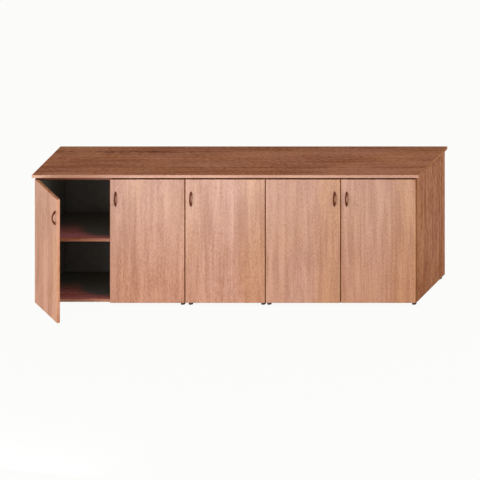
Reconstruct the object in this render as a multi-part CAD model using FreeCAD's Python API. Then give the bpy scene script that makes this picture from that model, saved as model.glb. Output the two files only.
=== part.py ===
import FreeCAD, Part
import math
import os

# An office credenza: three cabinets in a row under one worktop, with five doors on concealed hinges.
# Millimetres, +Z up, +X along the run to the viewer's right, +Y from the doors to the back.
#
# While the pieces are made, X = 0 is the middle of the run, Y = 0 the front face of the closed doors
# and Z = 0 the floor. The finished part is then moved in Y, so that its origin lies at the bottom
# centre of its box with the first door standing open.

V = FreeCAD.Vector
ALONG = V(1, 0, 0)
BACK = V(0, 1, 0)
UP = V(0, 0, 1)

# ---- the run ---------------------------------------------------------------------------------
WIDE_CABINET = 900.0        # an end cabinet, two doors
NARROW_CABINET = 480.0      # the middle cabinet, one door
DEPTH = 500.0               # front face of the doors to the back of the worktop
CARCASS_HEIGHT = 746.0      # sides, from their feet to the worktop

# ---- boards ----------------------------------------------------------------------------------
BOARD = 18.0                # sides, bottoms, rails and shelves
RAIL_DEPTH = 80.0           # top rails, front to back
BACK_BOARD = 4.0            # back panel
BACK_INSET = 10.0           # back panel to the back edges of the sides
GROOVE_DEPTH = 8.0          # groove for the back panel
GROOVE_FIT = 0.2            # play of the back panel in its groove, each side
GROOVE_END_PLAY = 1.0       # back panel's edge to the floor of its groove

# ---- worktop ---------------------------------------------------------------------------------
WORKTOP = 18.0              # thickness
WORKTOP_OVERHANG = 15.0     # past the end cabinets, each end
EDGING = 2.0                # thickness of the edge strips
EDGE_ROUND = 1.6            # rounded outer edges of the strips

# ---- shelf -----------------------------------------------------------------------------------
LOWER_SPACE = 336.0         # bottom panel to shelf
SHELF_SETBACK = 20.0        # shelf behind the front of the sides
SHELF_PLAY = 1.0            # shelf to each side
SHELF_BACK_PLAY = 2.0       # shelf to back panel
PIN_RADIUS = 2.5
PIN_REACH = 9.0             # pin into the side
PIN_HOLE_DEPTH = 12.0
PIN_PITCH = 32.0            # between holes of one row
PIN_ROWS = 5                # holes in a row
PIN_INSET = 60.0            # rows from the front edge, and from the back panel
LUG_REACH = 8.0             # lug under the shelf
LUG_WIDTH = 9.0
LUG_DROP = 4.0              # lug below the pin's centre

# ---- feet ------------------------------------------------------------------------------------
FOOT_HEIGHT = 20.0
FOOT_RADIUS = 14.0
FOOT_TAPER = 1.0            # the foot's radius is this much less at the floor
FOOT_EDGE = 2.5             # rounding at the floor
FOOT_INSET = 23.5           # foot centre to the cabinet's outer side
FOOT_NEAR_INSET = 12.0      # the same for the left feet of the right cabinet, close to its side
FOOT_FRONT_INSET = 17.0     # foot centre behind the front of the carcass
FOOT_BACK_INSET = 20.0      # foot centre before the back of the carcass
SPIGOT_RADIUS = 4.0
SPIGOT_LENGTH = 11.0
FIT = 0.1                   # radial play of what is pushed or screwed into a board

# ---- doors -----------------------------------------------------------------------------------
DOOR = 18.0                 # thickness
DOOR_GAP = 3.0              # back of a closed door to the carcass
DOOR_REVEAL = 2.0           # door edge to the cabinet's outer side
PAIR_GAP = 4.0              # between the two doors of a cabinet
TOP_REVEAL = 8.0            # door top to the underside of the worktop
DOOR_ROUND = 3.0            # rounded edges of the door
FIRST_DOOR_OPEN = 54.6      # degrees that the first door stands open

# ---- handle ----------------------------------------------------------------------------------
HANDLE_LENGTH = 88.0        # from end to end
HANDLE_SPAN = 64.0          # between its two screws
HANDLE_REACH = 22.0         # door face to the outside of the bow
HANDLE_GRIP = 6.5           # thickness at the middle
HANDLE_TIP = 3.0            # thickness at the ends
HANDLE_PAD = 17.0           # length of each foot on the door
HANDLE_WIDTH = 8.5          # across the middle
HANDLE_TIP_WIDTH = 7.0      # across the ends
HANDLE_ROUND = 2.0          # rounded edges
HANDLE_INSET = 34.0         # handle centre to the door's free edge
HANDLE_DROP = 73.0          # door top to the top of the handle

# ---- concealed hinge, in the door's own frame: a from its hinge edge, b from its front face -----
HINGE_INSET = 100.0         # hinge centre to the door's top or bottom
PIVOT_A = 9.0
PIVOT_B = 7.4
CUP_RADIUS = 17.5
CUP_EDGE = 4.0              # cup to the door's edge
CUP_FLOOR = 4.0             # door left in front of the cup
CUP_SHELL = 0.8
CUP_RIM = 0.7               # rim past the cup's side
CUP_RIM_THICKNESS = 1.0
WING_OFFSET = 9.5           # cup centre to its screws, away from the edge
WING_SPAN = 48.0            # between the cup's two screws
WING_WIDTH = 11.0
EAR_RADIUS = 2.4
EAR_WIDTH = 2.7
HINGE_PIN_RADIUS = 1.25
HINGE_PIN_FIT = 0.05        # pin in the arm's eye
EYE_RADIUS = 2.2
ARM_WIDTH = 10.0
ARM_SIDE_PLAY = 0.3         # arm to each ear
ARM_THICKNESS = 2.4
ARM_BEND = 8.0              # radius of the gooseneck's bends
ARM_NECK_A = 31.0           # where the arm leaves the cup
ARM_NECK = 5.0              # straight part there
ARM_JOG = 45.0              # degrees of the bend towards the side panel and back
ARM_TAIL = 45.0             # straight part on the mounting plate
PLATE_RAIL = 6.3            # height of the plate's rail, under the arm
PLATE_RAIL_LENGTH = 42.0
PLATE_RAIL_WIDTH = 12.0
PLATE_WING = 2.5            # thickness of the plate's wings
PLATE_WING_LENGTH = 16.0
PLATE_LINE = 37.0           # plate screws behind the front of the carcass
PLATE_SPAN = 32.0           # between the plate's two screws

# ---- fittings ----------------------------------------------------------------------------------
CAM_RADIUS = 7.5
CAM_DEPTH = 12.5
CAM_SETBACK = 34.0          # cam centre to the side panel
CAM_INSET = 50.0            # cams from the front and back of the bottom panel
CAM_SLOT = 1.6              # screwdriver slot
CAM_SLOT_DEPTH = 2.0
BOLT_RADIUS = 3.0           # cam bolt in the bottom panel or rail
BOLT_THREAD_RADIUS = 2.5    # cam bolt in the side
BOLT_THREAD = 11.0
BOLT_HEAD_RADIUS = 3.6
BOLT_HEAD = 3.0
CONNECTOR_RADIUS = 4.0
CONNECTOR_HEAD_RADIUS = 7.0
CONNECTOR_HEAD = 2.0
CONNECTOR_FRONT = 40.0      # connectors behind the front of the carcass
CONNECTOR_BACK = 60.0       # connectors before the back
CONNECTOR_LOW = 230.0       # connectors above the cabinet's bottom
CONNECTOR_HIGH = 540.0
SCREW_RADIUS = 2.0
SCREW_HEAD_RADIUS = 3.8
SCREW_HEAD = 2.2
WORKTOP_SCREW_BITE = 11.0   # worktop screw into the worktop
PLATE_SCREW_BITE = 12.0     # hinge plate screw into the side
CUP_SCREW_BITE = 10.0       # hinge cup screw into the door
HANDLE_SCREW_BITE = 9.0     # handle screw into the handle

# ---- what follows from them ----------------------------------------------------------------------
RUN = 2 * WIDE_CABINET + NARROW_CABINET
CARCASS_FRONT = DOOR + DOOR_GAP
BACK_FRONT = DEPTH - BACK_INSET - BACK_BOARD
BOTTOM_TOP = FOOT_HEIGHT + BOARD
CARCASS_TOP = FOOT_HEIGHT + CARCASS_HEIGHT
SHELF_UNDERSIDE = BOTTOM_TOP + LOWER_SPACE
PIN_HEIGHT = SHELF_UNDERSIDE - PIN_RADIUS
DOOR_HEIGHT = CARCASS_HEIGHT - TOP_REVEAL
DOOR_TOP = FOOT_HEIGHT + DOOR_HEIGHT
HANDLE_HEIGHT = DOOR_TOP - HANDLE_DROP - HANDLE_LENGTH / 2
HINGE_HEIGHTS = (FOOT_HEIGHT + HINGE_INSET, DOOR_TOP - HINGE_INSET)
CUP_A = CUP_EDGE + CUP_RADIUS
SIDE_FACE_A = BOARD - DOOR_REVEAL
PLATE_B = CARCASS_FRONT + PLATE_LINE
PIVOT = V(PIVOT_A, PIVOT_B, 0)


class Cabinet:
    """One cabinet of the run, from its left side to its right one."""

    def __init__(self, name, left, width, left_foot_inset=FOOT_INSET):
        self.name = name
        self.left = left
        self.width = width
        self.right = left + width
        self.foot_lines = (self.left + left_foot_inset, self.right - FOOT_INSET)


class Door:
    """A door hung on the left or right side of its cabinet."""

    def __init__(self, name, hinge_side, edge, width, open_angle=0.0):
        self.name = name
        self.way = 1 if hinge_side == "left" else -1      # from its hinge edge to its free edge
        self.edge = edge
        self.width = width
        self.open_angle = open_angle
        self.pivot = V(edge + self.way * PIVOT_A, PIVOT_B, 0)
        self.axis = V(0, 0, -self.way)                     # a positive turn opens the door


LEFT = Cabinet("left_cabinet", -RUN / 2, WIDE_CABINET)
MIDDLE = Cabinet("middle_cabinet", LEFT.right, NARROW_CABINET)
RIGHT = Cabinet("right_cabinet", MIDDLE.right, WIDE_CABINET, FOOT_NEAR_INSET)
CABINETS = (LEFT, MIDDLE, RIGHT)
PAIR_DOOR = (WIDE_CABINET - PAIR_GAP) / 2 - DOOR_REVEAL
SINGLE_DOOR = NARROW_CABINET - 2 * DOOR_REVEAL
DOORS = (
    Door("door_1", "left", LEFT.left + DOOR_REVEAL, PAIR_DOOR, FIRST_DOOR_OPEN),
    Door("door_2", "right", LEFT.right - DOOR_REVEAL, PAIR_DOOR),
    Door("door_3", "right", MIDDLE.right - DOOR_REVEAL, SINGLE_DOOR),
    Door("door_4", "left", RIGHT.left + DOOR_REVEAL, PAIR_DOOR),
    Door("door_5", "right", RIGHT.right - DOOR_REVEAL, PAIR_DOOR),
)


# ---- helpers -------------------------------------------------------------------------------------
def block(low, high):
    """A box between two corners."""
    size = high - low
    return Part.makeBox(size.x, size.y, size.z, low)


def rod(radius, start, way, length):
    """A round bar or hole from start, along way."""
    return Part.makeCylinder(radius, length, start, way)


def cut(solid, cutters):
    """The solid less all the cutters."""
    return solid.cut(Part.makeCompound(cutters))


def join(first, others):
    """One solid from pieces that touch or overlap."""
    return first.multiFuse(others).removeSplitter()


def group(solids):
    """Separate solids kept as one node."""
    return Part.makeCompound(solids)


def grid(*choices):
    """Every combination of the given values, as tuples."""
    combinations = [()]
    for values in choices:
        combinations = [(*combination, value) for combination in combinations for value in values]
    return combinations


def lens(centre, radius, thickness, way):
    """A screw head: a disc whose outer edge is bevelled by a third of its thickness."""
    bevel = thickness / 3
    disc = rod(radius, centre, way, thickness - bevel)
    cap = Part.makeCone(radius, radius - bevel, bevel, centre + way * (thickness - bevel), way)
    return disc.fuse(cap).removeSplitter()


def screw(seat, way, bite, radius=SCREW_RADIUS, head_radius=SCREW_HEAD_RADIUS, head=SCREW_HEAD):
    """A screw whose head sits on seat and whose shank goes along way."""
    return rod(radius, seat, way, bite).fuse(lens(seat, head_radius, head, way * -1)).removeSplitter()


def screw_hole(seat, way, bite, radius=SCREW_RADIUS):
    """The hole for such a shank, a little wider and deeper than it."""
    return rod(radius + FIT, seat, way, bite + 1)


def bent_bar(start, heading, runs, thickness, width):
    """A flat bar of one thickness, bent in plan and centred on start's height. Each run is
    (length,) for a straight part or (radius, turn) for a bend, with turn in degrees to the left."""
    half = thickness / 2
    here = start
    angle = heading
    left_side = []
    right_side = []
    for run in runs:
        ahead = V(math.cos(math.radians(angle)), math.sin(math.radians(angle)), 0)
        aside = V(-ahead.y, ahead.x, 0)
        if len(run) == 1:
            there = here + ahead * run[0]
            left_side.append(Part.LineSegment(here + aside * half, there + aside * half))
            right_side.append(Part.LineSegment(here - aside * half, there - aside * half))
            here = there
            continue
        radius, turn = run
        spoke = aside * math.copysign(1, -turn)
        hub = here - spoke * radius
        middle_spoke = FreeCAD.Rotation(UP, turn / 2).multVec(spoke)
        last_spoke = FreeCAD.Rotation(UP, turn).multVec(spoke)
        for side, way in ((left_side, 1), (right_side, -1)):
            reach = radius - way * math.copysign(half, turn)
            side.append(Part.Arc(hub + spoke * reach, hub + middle_spoke * reach, hub + last_spoke * reach))
        here = hub + last_spoke * radius
        angle += turn
    near_end = Part.LineSegment(left_side[0].StartPoint, right_side[0].StartPoint)
    far_end = Part.LineSegment(left_side[-1].EndPoint, right_side[-1].EndPoint)
    edges = [curve.toShape() for curve in (*left_side, far_end, *right_side, near_end)]
    outline = Part.Wire(Part.__sortEdges__(edges))
    bar = Part.Face(outline).extrude(UP * width)
    return bar.translated(UP * (-width / 2))


# ---- feet ----------------------------------------------------------------------------------------
def foot_centres(cabinet):
    """Where the cabinet's four feet stand."""
    lines = (CARCASS_FRONT + FOOT_FRONT_INSET, DEPTH - FOOT_BACK_INSET)
    return [V(x, y, FOOT_HEIGHT) for x, y in grid(cabinet.foot_lines, lines)]


def foot(centre):
    """A moulded glide with a spigot pushed into the board above it."""
    floor = centre - UP * FOOT_HEIGHT
    glide = Part.makeCone(FOOT_RADIUS - FOOT_TAPER, FOOT_RADIUS, FOOT_HEIGHT, floor, UP)
    floor_edge = [edge for edge in glide.Edges if edge.BoundBox.ZMax < FOOT_EDGE]
    glide = glide.makeFillet(FOOT_EDGE, floor_edge)
    return glide.fuse(rod(SPIGOT_RADIUS, centre, UP, SPIGOT_LENGTH)).removeSplitter()


def foot_holes(cabinet):
    """Holes for the spigots."""
    return [rod(SPIGOT_RADIUS + FIT, centre, UP, SPIGOT_LENGTH + 1) for centre in foot_centres(cabinet)]


# ---- cam fittings --------------------------------------------------------------------------------
def cam_places(cabinet):
    """Each fitting: a point on the side's inner face, the way into the cabinet, and the way from the
    bolt to the open face of its board."""
    inner_faces = ((cabinet.left + BOARD, ALONG), (cabinet.right - BOARD, ALONG * -1))
    bottom_lines = (CARCASS_FRONT + CAM_INSET, BACK_FRONT - CAM_INSET)
    rail_lines = (CARCASS_FRONT + RAIL_DEPTH / 2, BACK_FRONT - RAIL_DEPTH / 2)
    places = []
    for (x, way), y in grid(inner_faces, bottom_lines):
        places.append((V(x, y, FOOT_HEIGHT + BOARD / 2), way, UP * -1))
    for (x, way), y in grid(inner_faces, rail_lines):
        places.append((V(x, y, CARCASS_TOP - BOARD / 2), way, UP))
    return places


def cam_bolt(place, play=0.0):
    """The bolt from the side panel to the cam; play makes its hole."""
    point, way, _ = place
    neck = CAM_SETBACK - BOLT_HEAD
    thread = rod(BOLT_THREAD_RADIUS + play, point - way * (BOLT_THREAD + play), way, BOLT_THREAD + play)
    shank = rod(BOLT_RADIUS + play, point, way, neck)
    head = rod(BOLT_HEAD_RADIUS + play, point + way * (neck - play), way, BOLT_HEAD + 2 * play)
    return join(thread, [shank, head])


def cam_pocket(place, play=0.0):
    """The round pocket that holds the cam, from its board's open face inwards."""
    point, way, out = place
    mouth = point + way * CAM_SETBACK + out * (BOARD / 2)
    return rod(CAM_RADIUS + play, mouth, out * -1, CAM_DEPTH + play)


def cam(place):
    """The cam, open towards its bolt and slotted for a screwdriver."""
    point, way, out = place
    mouth = point + way * CAM_SETBACK + out * (BOARD / 2)
    reach = ALONG * CAM_RADIUS + BACK * (CAM_SLOT / 2)
    slot = block(mouth - reach - UP * CAM_SLOT_DEPTH, mouth + reach + UP * CAM_SLOT_DEPTH)
    return cut(cam_pocket(place), [cam_bolt(place, FIT), slot])


# ---- shelf pins ----------------------------------------------------------------------------------
def pin_lines():
    """The two upright rows of shelf pin holes, as places from front to back."""
    return (CARCASS_FRONT + PIN_INSET, BACK_FRONT - PIN_INSET)


def pin_holes(face_x, into):
    """The rows of holes in one side's inner face."""
    middle = (PIN_ROWS - 1) / 2
    heights = [PIN_HEIGHT + (row - middle) * PIN_PITCH for row in range(PIN_ROWS)]
    starts = [V(face_x, y, z) for y, z in grid(pin_lines(), heights)]
    return [rod(PIN_RADIUS + FIT, start, into, PIN_HOLE_DEPTH) for start in starts]


def shelf_pin(face_x, into, y):
    """A pin in the side with a flat lug under the shelf."""
    start = V(face_x, y, PIN_HEIGHT)
    pin = rod(PIN_RADIUS, start, into, PIN_REACH)
    ends = (face_x, face_x - into.x * LUG_REACH)
    low = V(min(ends), y - LUG_WIDTH / 2, PIN_HEIGHT - LUG_DROP)
    high = V(max(ends), y + LUG_WIDTH / 2, SHELF_UNDERSIDE)
    return pin.fuse(block(low, high))


# ---- connectors between neighbouring cabinets ------------------------------------------------------
def connector_places(joint_x):
    """The connectors through the two sides that meet at joint_x."""
    lines = (CARCASS_FRONT + CONNECTOR_FRONT, DEPTH - CONNECTOR_BACK)
    heights = (FOOT_HEIGHT + CONNECTOR_LOW, FOOT_HEIGHT + CONNECTOR_HIGH)
    return [V(joint_x - BOARD, y, z) for y, z in grid(lines, heights)]


def connector(start):
    """A sleeve and its screw, with a flat head on each inner face."""
    body = rod(CONNECTOR_RADIUS, start, ALONG, 2 * BOARD)
    heads = [
        lens(start, CONNECTOR_HEAD_RADIUS, CONNECTOR_HEAD, ALONG * -1),
        lens(start + ALONG * (2 * BOARD), CONNECTOR_HEAD_RADIUS, CONNECTOR_HEAD, ALONG),
    ]
    return join(body, heads)


JOINTS_IN_THE_RUN = (MIDDLE.left, MIDDLE.right)


def connector_holes():
    """Holes through both sides at each joint of the run."""
    starts = [start for joint in JOINTS_IN_THE_RUN for start in connector_places(joint)]
    return [rod(CONNECTOR_RADIUS + FIT, start, ALONG, 2 * BOARD) for start in starts]


# ---- worktop screws --------------------------------------------------------------------------------
def worktop_screw_seats(cabinet):
    """Under the top rails, a quarter of the width from each side."""
    columns = (cabinet.left + cabinet.width / 4, cabinet.right - cabinet.width / 4)
    rail_lines = (CARCASS_FRONT + RAIL_DEPTH / 2, BACK_FRONT - RAIL_DEPTH / 2)
    return [V(x, y, CARCASS_TOP - BOARD) for x, y in grid(columns, rail_lines)]


# ---- hinge, in the frame of a door hung on its left --------------------------------------------------
def hinge_cup(height):
    """The drawn cup with its rim, screw wings and the two ears that hold the pin."""
    centre = V(CUP_A, 0, height)
    outer_floor = CUP_FLOOR + FIT
    inner_floor = outer_floor + CUP_SHELL
    body = rod(CUP_RADIUS, centre + BACK * outer_floor, BACK, DOOR - outer_floor)
    rim = rod(CUP_RADIUS + CUP_RIM, centre + BACK * DOOR, BACK, CUP_RIM_THICKNESS)
    wing_line = centre + ALONG * WING_OFFSET + BACK * DOOR
    tips = [wing_line + UP * (way * WING_SPAN / 2) for way in (-1, 1)]
    pads = [rod(WING_WIDTH / 2, tip, BACK, CUP_RIM_THICKNESS) for tip in tips]
    bridge = block(tips[0] - ALONG * (WING_WIDTH / 2),
                   tips[1] + ALONG * (WING_WIDTH / 2) + BACK * CUP_RIM_THICKNESS)
    hollow = rod(CUP_RADIUS - CUP_SHELL, centre + BACK * inner_floor, BACK, DOOR)
    shell = cut(join(body, [rim, bridge, *pads]), [hollow])
    ears = [hinge_ear(height + way * (ARM_WIDTH / 2 + ARM_SIDE_PLAY + EAR_WIDTH / 2), outer_floor)
            for way in (-1, 1)]
    bores = [screw_hole(tip + BACK * CUP_RIM_THICKNESS, BACK * -1, CUP_SCREW_BITE) for tip in tips]
    pin_bore = rod(HINGE_PIN_RADIUS + FIT / 2, PIVOT + UP * (height - CUP_RADIUS), UP, 2 * CUP_RADIUS)
    inside = rod(CUP_RADIUS - CUP_SHELL / 2, centre + BACK * outer_floor, BACK, DOOR)
    kept_ears = [ear.common(inside) for ear in ears]
    return cut(join(shell, kept_ears), [*bores, pin_bore.common(hollow)])


def hinge_ear(height, floor):
    """One ear: a wall from the cup's floor with a rounded top about the pin."""
    low = V(PIVOT_A - EAR_RADIUS, floor, height - EAR_WIDTH / 2)
    high = V(PIVOT_A + EAR_RADIUS, PIVOT_B, height + EAR_WIDTH / 2)
    crown = rod(EAR_RADIUS, PIVOT + UP * (height - EAR_WIDTH / 2), UP, EAR_WIDTH)
    return join(block(low, high), [crown])


def hinge_pin(height):
    """The pin through both ears and the arm's eye."""
    length = ARM_WIDTH + 2 * (ARM_SIDE_PLAY + EAR_WIDTH)
    return rod(HINGE_PIN_RADIUS, PIVOT + UP * (height - length / 2), UP, length)


def arm_tail_a():
    """The arm's middle line where it lies on the mounting plate."""
    return SIDE_FACE_A + PLATE_RAIL + ARM_THICKNESS / 2


def arm_tail_b():
    """Where the arm's straight tail begins."""
    turn = math.radians(ARM_JOG)
    jog = 2 * ARM_BEND * math.sin(turn) + jog_length() * math.cos(turn)
    return PIVOT_B + ARM_BEND + ARM_NECK + jog


def jog_length():
    """The slanted part of the gooseneck, long enough to bring the tail onto the plate."""
    turn = math.radians(ARM_JOG)
    sideways = ARM_NECK_A - arm_tail_a()
    return (sideways - 2 * ARM_BEND * (1 - math.cos(turn))) / math.sin(turn)


def hinge_arm(height):
    """The gooseneck: from the pin across the cup, out of its mouth and back along the side panel."""
    runs = [
        (ARM_NECK_A - PIVOT_A - ARM_BEND,),
        (ARM_BEND, 90.0),
        (ARM_NECK,),
        (ARM_BEND, ARM_JOG),
        (jog_length(),),
        (ARM_BEND, -ARM_JOG),
        (ARM_TAIL,),
    ]
    start = PIVOT + UP * height
    bar = bent_bar(start, 0.0, runs, ARM_THICKNESS, ARM_WIDTH)
    eye = rod(EYE_RADIUS, start - UP * (ARM_WIDTH / 2), UP, ARM_WIDTH)
    bore = rod(HINGE_PIN_RADIUS + HINGE_PIN_FIT, start - UP * ARM_WIDTH, UP, 2 * ARM_WIDTH)
    return cut(join(bar, [eye]), [bore, screw_hole(clamp_seat(height), ALONG * -1, clamp_bite())])


def clamp_seat(height):
    """Where the clamp screw's head sits on the arm's tail."""
    return V(arm_tail_a() + ARM_THICKNESS / 2, arm_tail_b() + ARM_TAIL - PLATE_RAIL_WIDTH, height)


def clamp_bite():
    """The clamp screw ends inside the rail."""
    return ARM_THICKNESS + PLATE_RAIL - 2


def plate_screw_seats(height):
    """On the plate's two wings, above and below its rail."""
    return [V(SIDE_FACE_A + PLATE_WING, PLATE_B, height + way * PLATE_SPAN / 2) for way in (-1, 1)]


def hinge_plate(height):
    """The mounting plate on the side panel: a rail under the arm and two screw wings."""
    rail_end = arm_tail_b() + ARM_TAIL
    half = PLATE_RAIL_WIDTH / 2
    rail = block(V(SIDE_FACE_A, rail_end - PLATE_RAIL_LENGTH, height - half),
                 V(SIDE_FACE_A + PLATE_RAIL, rail_end, height + half))
    seats = plate_screw_seats(height)
    pads = [rod(PLATE_WING_LENGTH / 2, seat - ALONG * PLATE_WING, ALONG, PLATE_WING) for seat in seats]
    bridge = block(seats[0] - BACK * (PLATE_WING_LENGTH / 2) - ALONG * PLATE_WING,
                   seats[1] + BACK * (PLATE_WING_LENGTH / 2))
    bores = [screw_hole(seat, ALONG * -1, PLATE_WING) for seat in seats]
    bores.append(screw_hole(clamp_seat(height), ALONG * -1, clamp_bite()))
    return cut(join(rail, [bridge, *pads]), bores)


# ---- door, in the frame of a door hung on its left ---------------------------------------------------
def handle_profile():
    """The bow seen from the side: two arcs, thin ends and a flat foot at each end."""
    end = HANDLE_LENGTH / 2
    heel = end - HANDLE_PAD
    curves = [
        Part.LineSegment(V(0, 0, end), V(0, -HANDLE_TIP, end)),
        Part.Arc(V(0, -HANDLE_TIP, end), V(0, -HANDLE_REACH, 0), V(0, -HANDLE_TIP, -end)),
        Part.LineSegment(V(0, -HANDLE_TIP, -end), V(0, 0, -end)),
        Part.LineSegment(V(0, 0, -end), V(0, 0, -heel)),
        Part.Arc(V(0, 0, -heel), V(0, HANDLE_GRIP - HANDLE_REACH, 0), V(0, 0, heel)),
        Part.LineSegment(V(0, 0, heel), V(0, 0, end)),
    ]
    return Part.Wire([curve.toShape() for curve in curves])


def handle_outline():
    """The bow seen from the front: wide in the middle, narrow at both ends."""
    end = HANDLE_LENGTH / 2
    tip = HANDLE_TIP_WIDTH / 2
    curves = [
        Part.LineSegment(V(-tip, 0, end), V(tip, 0, end)),
        Part.Arc(V(tip, 0, end), V(HANDLE_WIDTH / 2, 0, 0), V(tip, 0, -end)),
        Part.LineSegment(V(tip, 0, -end), V(-tip, 0, -end)),
        Part.Arc(V(-tip, 0, -end), V(-HANDLE_WIDTH / 2, 0, 0), V(-tip, 0, end)),
    ]
    return Part.Wire([curve.toShape() for curve in curves])


def handle_screw_seats(door):
    """On the back of the door, behind the handle's feet."""
    leg_x = door.width - HANDLE_INSET
    return [V(leg_x, DOOR, HANDLE_HEIGHT + way * HANDLE_SPAN / 2) for way in (-1, 1)]


def handle(door):
    """The moulded bow handle, drilled for its two screws."""
    slab = Part.Face(handle_profile()).extrude(ALONG * HANDLE_WIDTH).translated(ALONG * (-HANDLE_WIDTH / 2))
    prism = Part.Face(handle_outline()).extrude(BACK * (-HANDLE_REACH))
    bow = slab.common(prism)
    clear_of_door = [edge for edge in bow.Edges if edge.BoundBox.YMin < -HANDLE_TIP / 2]
    bow = bow.makeFillet(HANDLE_ROUND, clear_of_door)
    bow = bow.translated(V(door.width - HANDLE_INSET, 0, HANDLE_HEIGHT))
    holes = [screw_hole(seat, BACK * -1, DOOR + HANDLE_SCREW_BITE) for seat in handle_screw_seats(door)]
    return cut(bow, holes)


def door_panel(door):
    """The door board with its hinge and handle holes."""
    board = Part.makeBox(door.width, DOOR, DOOR_HEIGHT, V(0, 0, FOOT_HEIGHT))
    board = board.makeFillet(DOOR_ROUND, board.Edges)
    holes = [screw_hole(seat, BACK * -1, DOOR) for seat in handle_screw_seats(door)]
    for height in HINGE_HEIGHTS:
        floor = V(CUP_A, CUP_FLOOR, height)
        holes.append(rod(CUP_RADIUS + FIT, floor, BACK, DOOR))
        for seat in cup_screw_seats(height):
            holes.append(screw_hole(seat, BACK * -1, CUP_SCREW_BITE))
    return cut(board, holes)


def cup_screw_seats(height):
    """On the wings of a hinge cup."""
    seat = V(CUP_A + WING_OFFSET, DOOR + CUP_RIM_THICKNESS, height)
    return [seat + UP * (way * WING_SPAN / 2) for way in (-1, 1)]


def hung(shape, door):
    """From the frame of a door hung on its left to this door's place, closed."""
    placed = shape if door.way == 1 else shape.mirror(V(0, 0, 0), ALONG)
    return placed.translated(ALONG * door.edge)


def opened(shape, door):
    """Turned about the hinge to the angle at which the door stands."""
    return hung(shape, door).rotated(door.pivot, door.axis, door.open_angle)


def door_nodes(door):
    """Every node that swings with the door."""
    cups = [hinge_cup(height) for height in HINGE_HEIGHTS]
    pins = [hinge_pin(height) for height in HINGE_HEIGHTS]
    cup_screws = [screw(seat, BACK * -1, CUP_SCREW_BITE)
                  for height in HINGE_HEIGHTS for seat in cup_screw_seats(height)]
    handle_screws = [screw(seat, BACK * -1, DOOR + HANDLE_SCREW_BITE) for seat in handle_screw_seats(door)]
    pieces = {
        "panel": door_panel(door),
        "handle": handle(door),
        "handle_screws": group(handle_screws),
        "hinge_cups": group(cups),
        "hinge_pins": group(pins),
        "cup_screws": group(cup_screws),
    }
    return {f"{door.name}_{piece}": opened(shape, door) for piece, shape in pieces.items()}


def hinge_nodes():
    """The halves of the hinges that stay on the cabinets."""
    arms = []
    plates = []
    screws = []
    for door, height in grid(DOORS, HINGE_HEIGHTS):
        arms.append(hung(hinge_arm(height), door))
        plates.append(hung(hinge_plate(height), door))
        screws.append(hung(screw(clamp_seat(height), ALONG * -1, clamp_bite()), door))
        for seat in plate_screw_seats(height):
            screws.append(hung(screw(seat, ALONG * -1, PLATE_WING + PLATE_SCREW_BITE), door))
    return {"hinge_arms": group(arms), "hinge_plates": group(plates), "hinge_screws": group(screws)}


def plate_screw_holes():
    """Holes in the sides for the screws of the mounting plates."""
    holes = []
    for door, height in grid(DOORS, HINGE_HEIGHTS):
        for seat in plate_screw_seats(height):
            holes.append(hung(screw_hole(seat, ALONG * -1, PLATE_WING + PLATE_SCREW_BITE), door))
    return holes


# ---- cabinets ----------------------------------------------------------------------------------------
def back_panel_box(cabinet, play=0.0):
    """The back panel, standing in the grooves of the sides and bottom; play makes the grooves."""
    reach = GROOVE_DEPTH if play else GROOVE_DEPTH - GROOVE_END_PLAY
    low = V(cabinet.left + BOARD - reach, BACK_FRONT - play, BOTTOM_TOP - reach)
    high = V(cabinet.right - BOARD + reach, BACK_FRONT + BACK_BOARD + play, CARCASS_TOP)
    return block(low, high)


def cabinet_nodes(cabinet):
    """The boards of one cabinet."""
    inner_left = cabinet.left + BOARD
    inner_right = cabinet.right - BOARD
    groove = back_panel_box(cabinet, GROOVE_FIT)
    bolts = [cam_bolt(place, FIT) for place in cam_places(cabinet)]
    pockets = [cam_pocket(place, FIT) for place in cam_places(cabinet)]
    spigots = foot_holes(cabinet)
    left_side = block(V(cabinet.left, CARCASS_FRONT, FOOT_HEIGHT), V(inner_left, DEPTH, CARCASS_TOP))
    right_side = block(V(inner_right, CARCASS_FRONT, FOOT_HEIGHT), V(cabinet.right, DEPTH, CARCASS_TOP))
    shared = [groove, *bolts, *spigots, *connector_holes(), *plate_screw_holes()]
    left_side = cut(left_side, [*shared, *pin_holes(inner_left, ALONG * -1)])
    right_side = cut(right_side, [*shared, *pin_holes(inner_right, ALONG)])
    bottom = block(V(inner_left, CARCASS_FRONT, FOOT_HEIGHT), V(inner_right, DEPTH, BOTTOM_TOP))
    bottom = cut(bottom, [groove, *bolts, *pockets, *spigots])
    return {
        f"{cabinet.name}_left_side": left_side,
        f"{cabinet.name}_right_side": right_side,
        f"{cabinet.name}_bottom": bottom,
        f"{cabinet.name}_top_rails": group(top_rails(cabinet, [*bolts, *pockets])),
        f"{cabinet.name}_back": back_panel_box(cabinet),
        f"{cabinet.name}_shelf": shelf(cabinet),
    }


def top_rails(cabinet, holes):
    """The two rails that tie the sides together and carry the worktop."""
    starts = (CARCASS_FRONT, BACK_FRONT - RAIL_DEPTH)
    holes = [*holes, *(screw_hole(seat, UP, BOARD) for seat in worktop_screw_seats(cabinet))]
    rails = []
    for start in starts:
        low = V(cabinet.left + BOARD, start, CARCASS_TOP - BOARD)
        high = V(cabinet.right - BOARD, start + RAIL_DEPTH, CARCASS_TOP)
        rails.append(cut(block(low, high), holes))
    return rails


def shelf(cabinet):
    """The adjustable shelf on its four pins."""
    low = V(cabinet.left + BOARD + SHELF_PLAY, CARCASS_FRONT + SHELF_SETBACK, SHELF_UNDERSIDE)
    high = V(cabinet.right - BOARD - SHELF_PLAY, BACK_FRONT - SHELF_BACK_PLAY, SHELF_UNDERSIDE + BOARD)
    return block(low, high)


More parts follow.
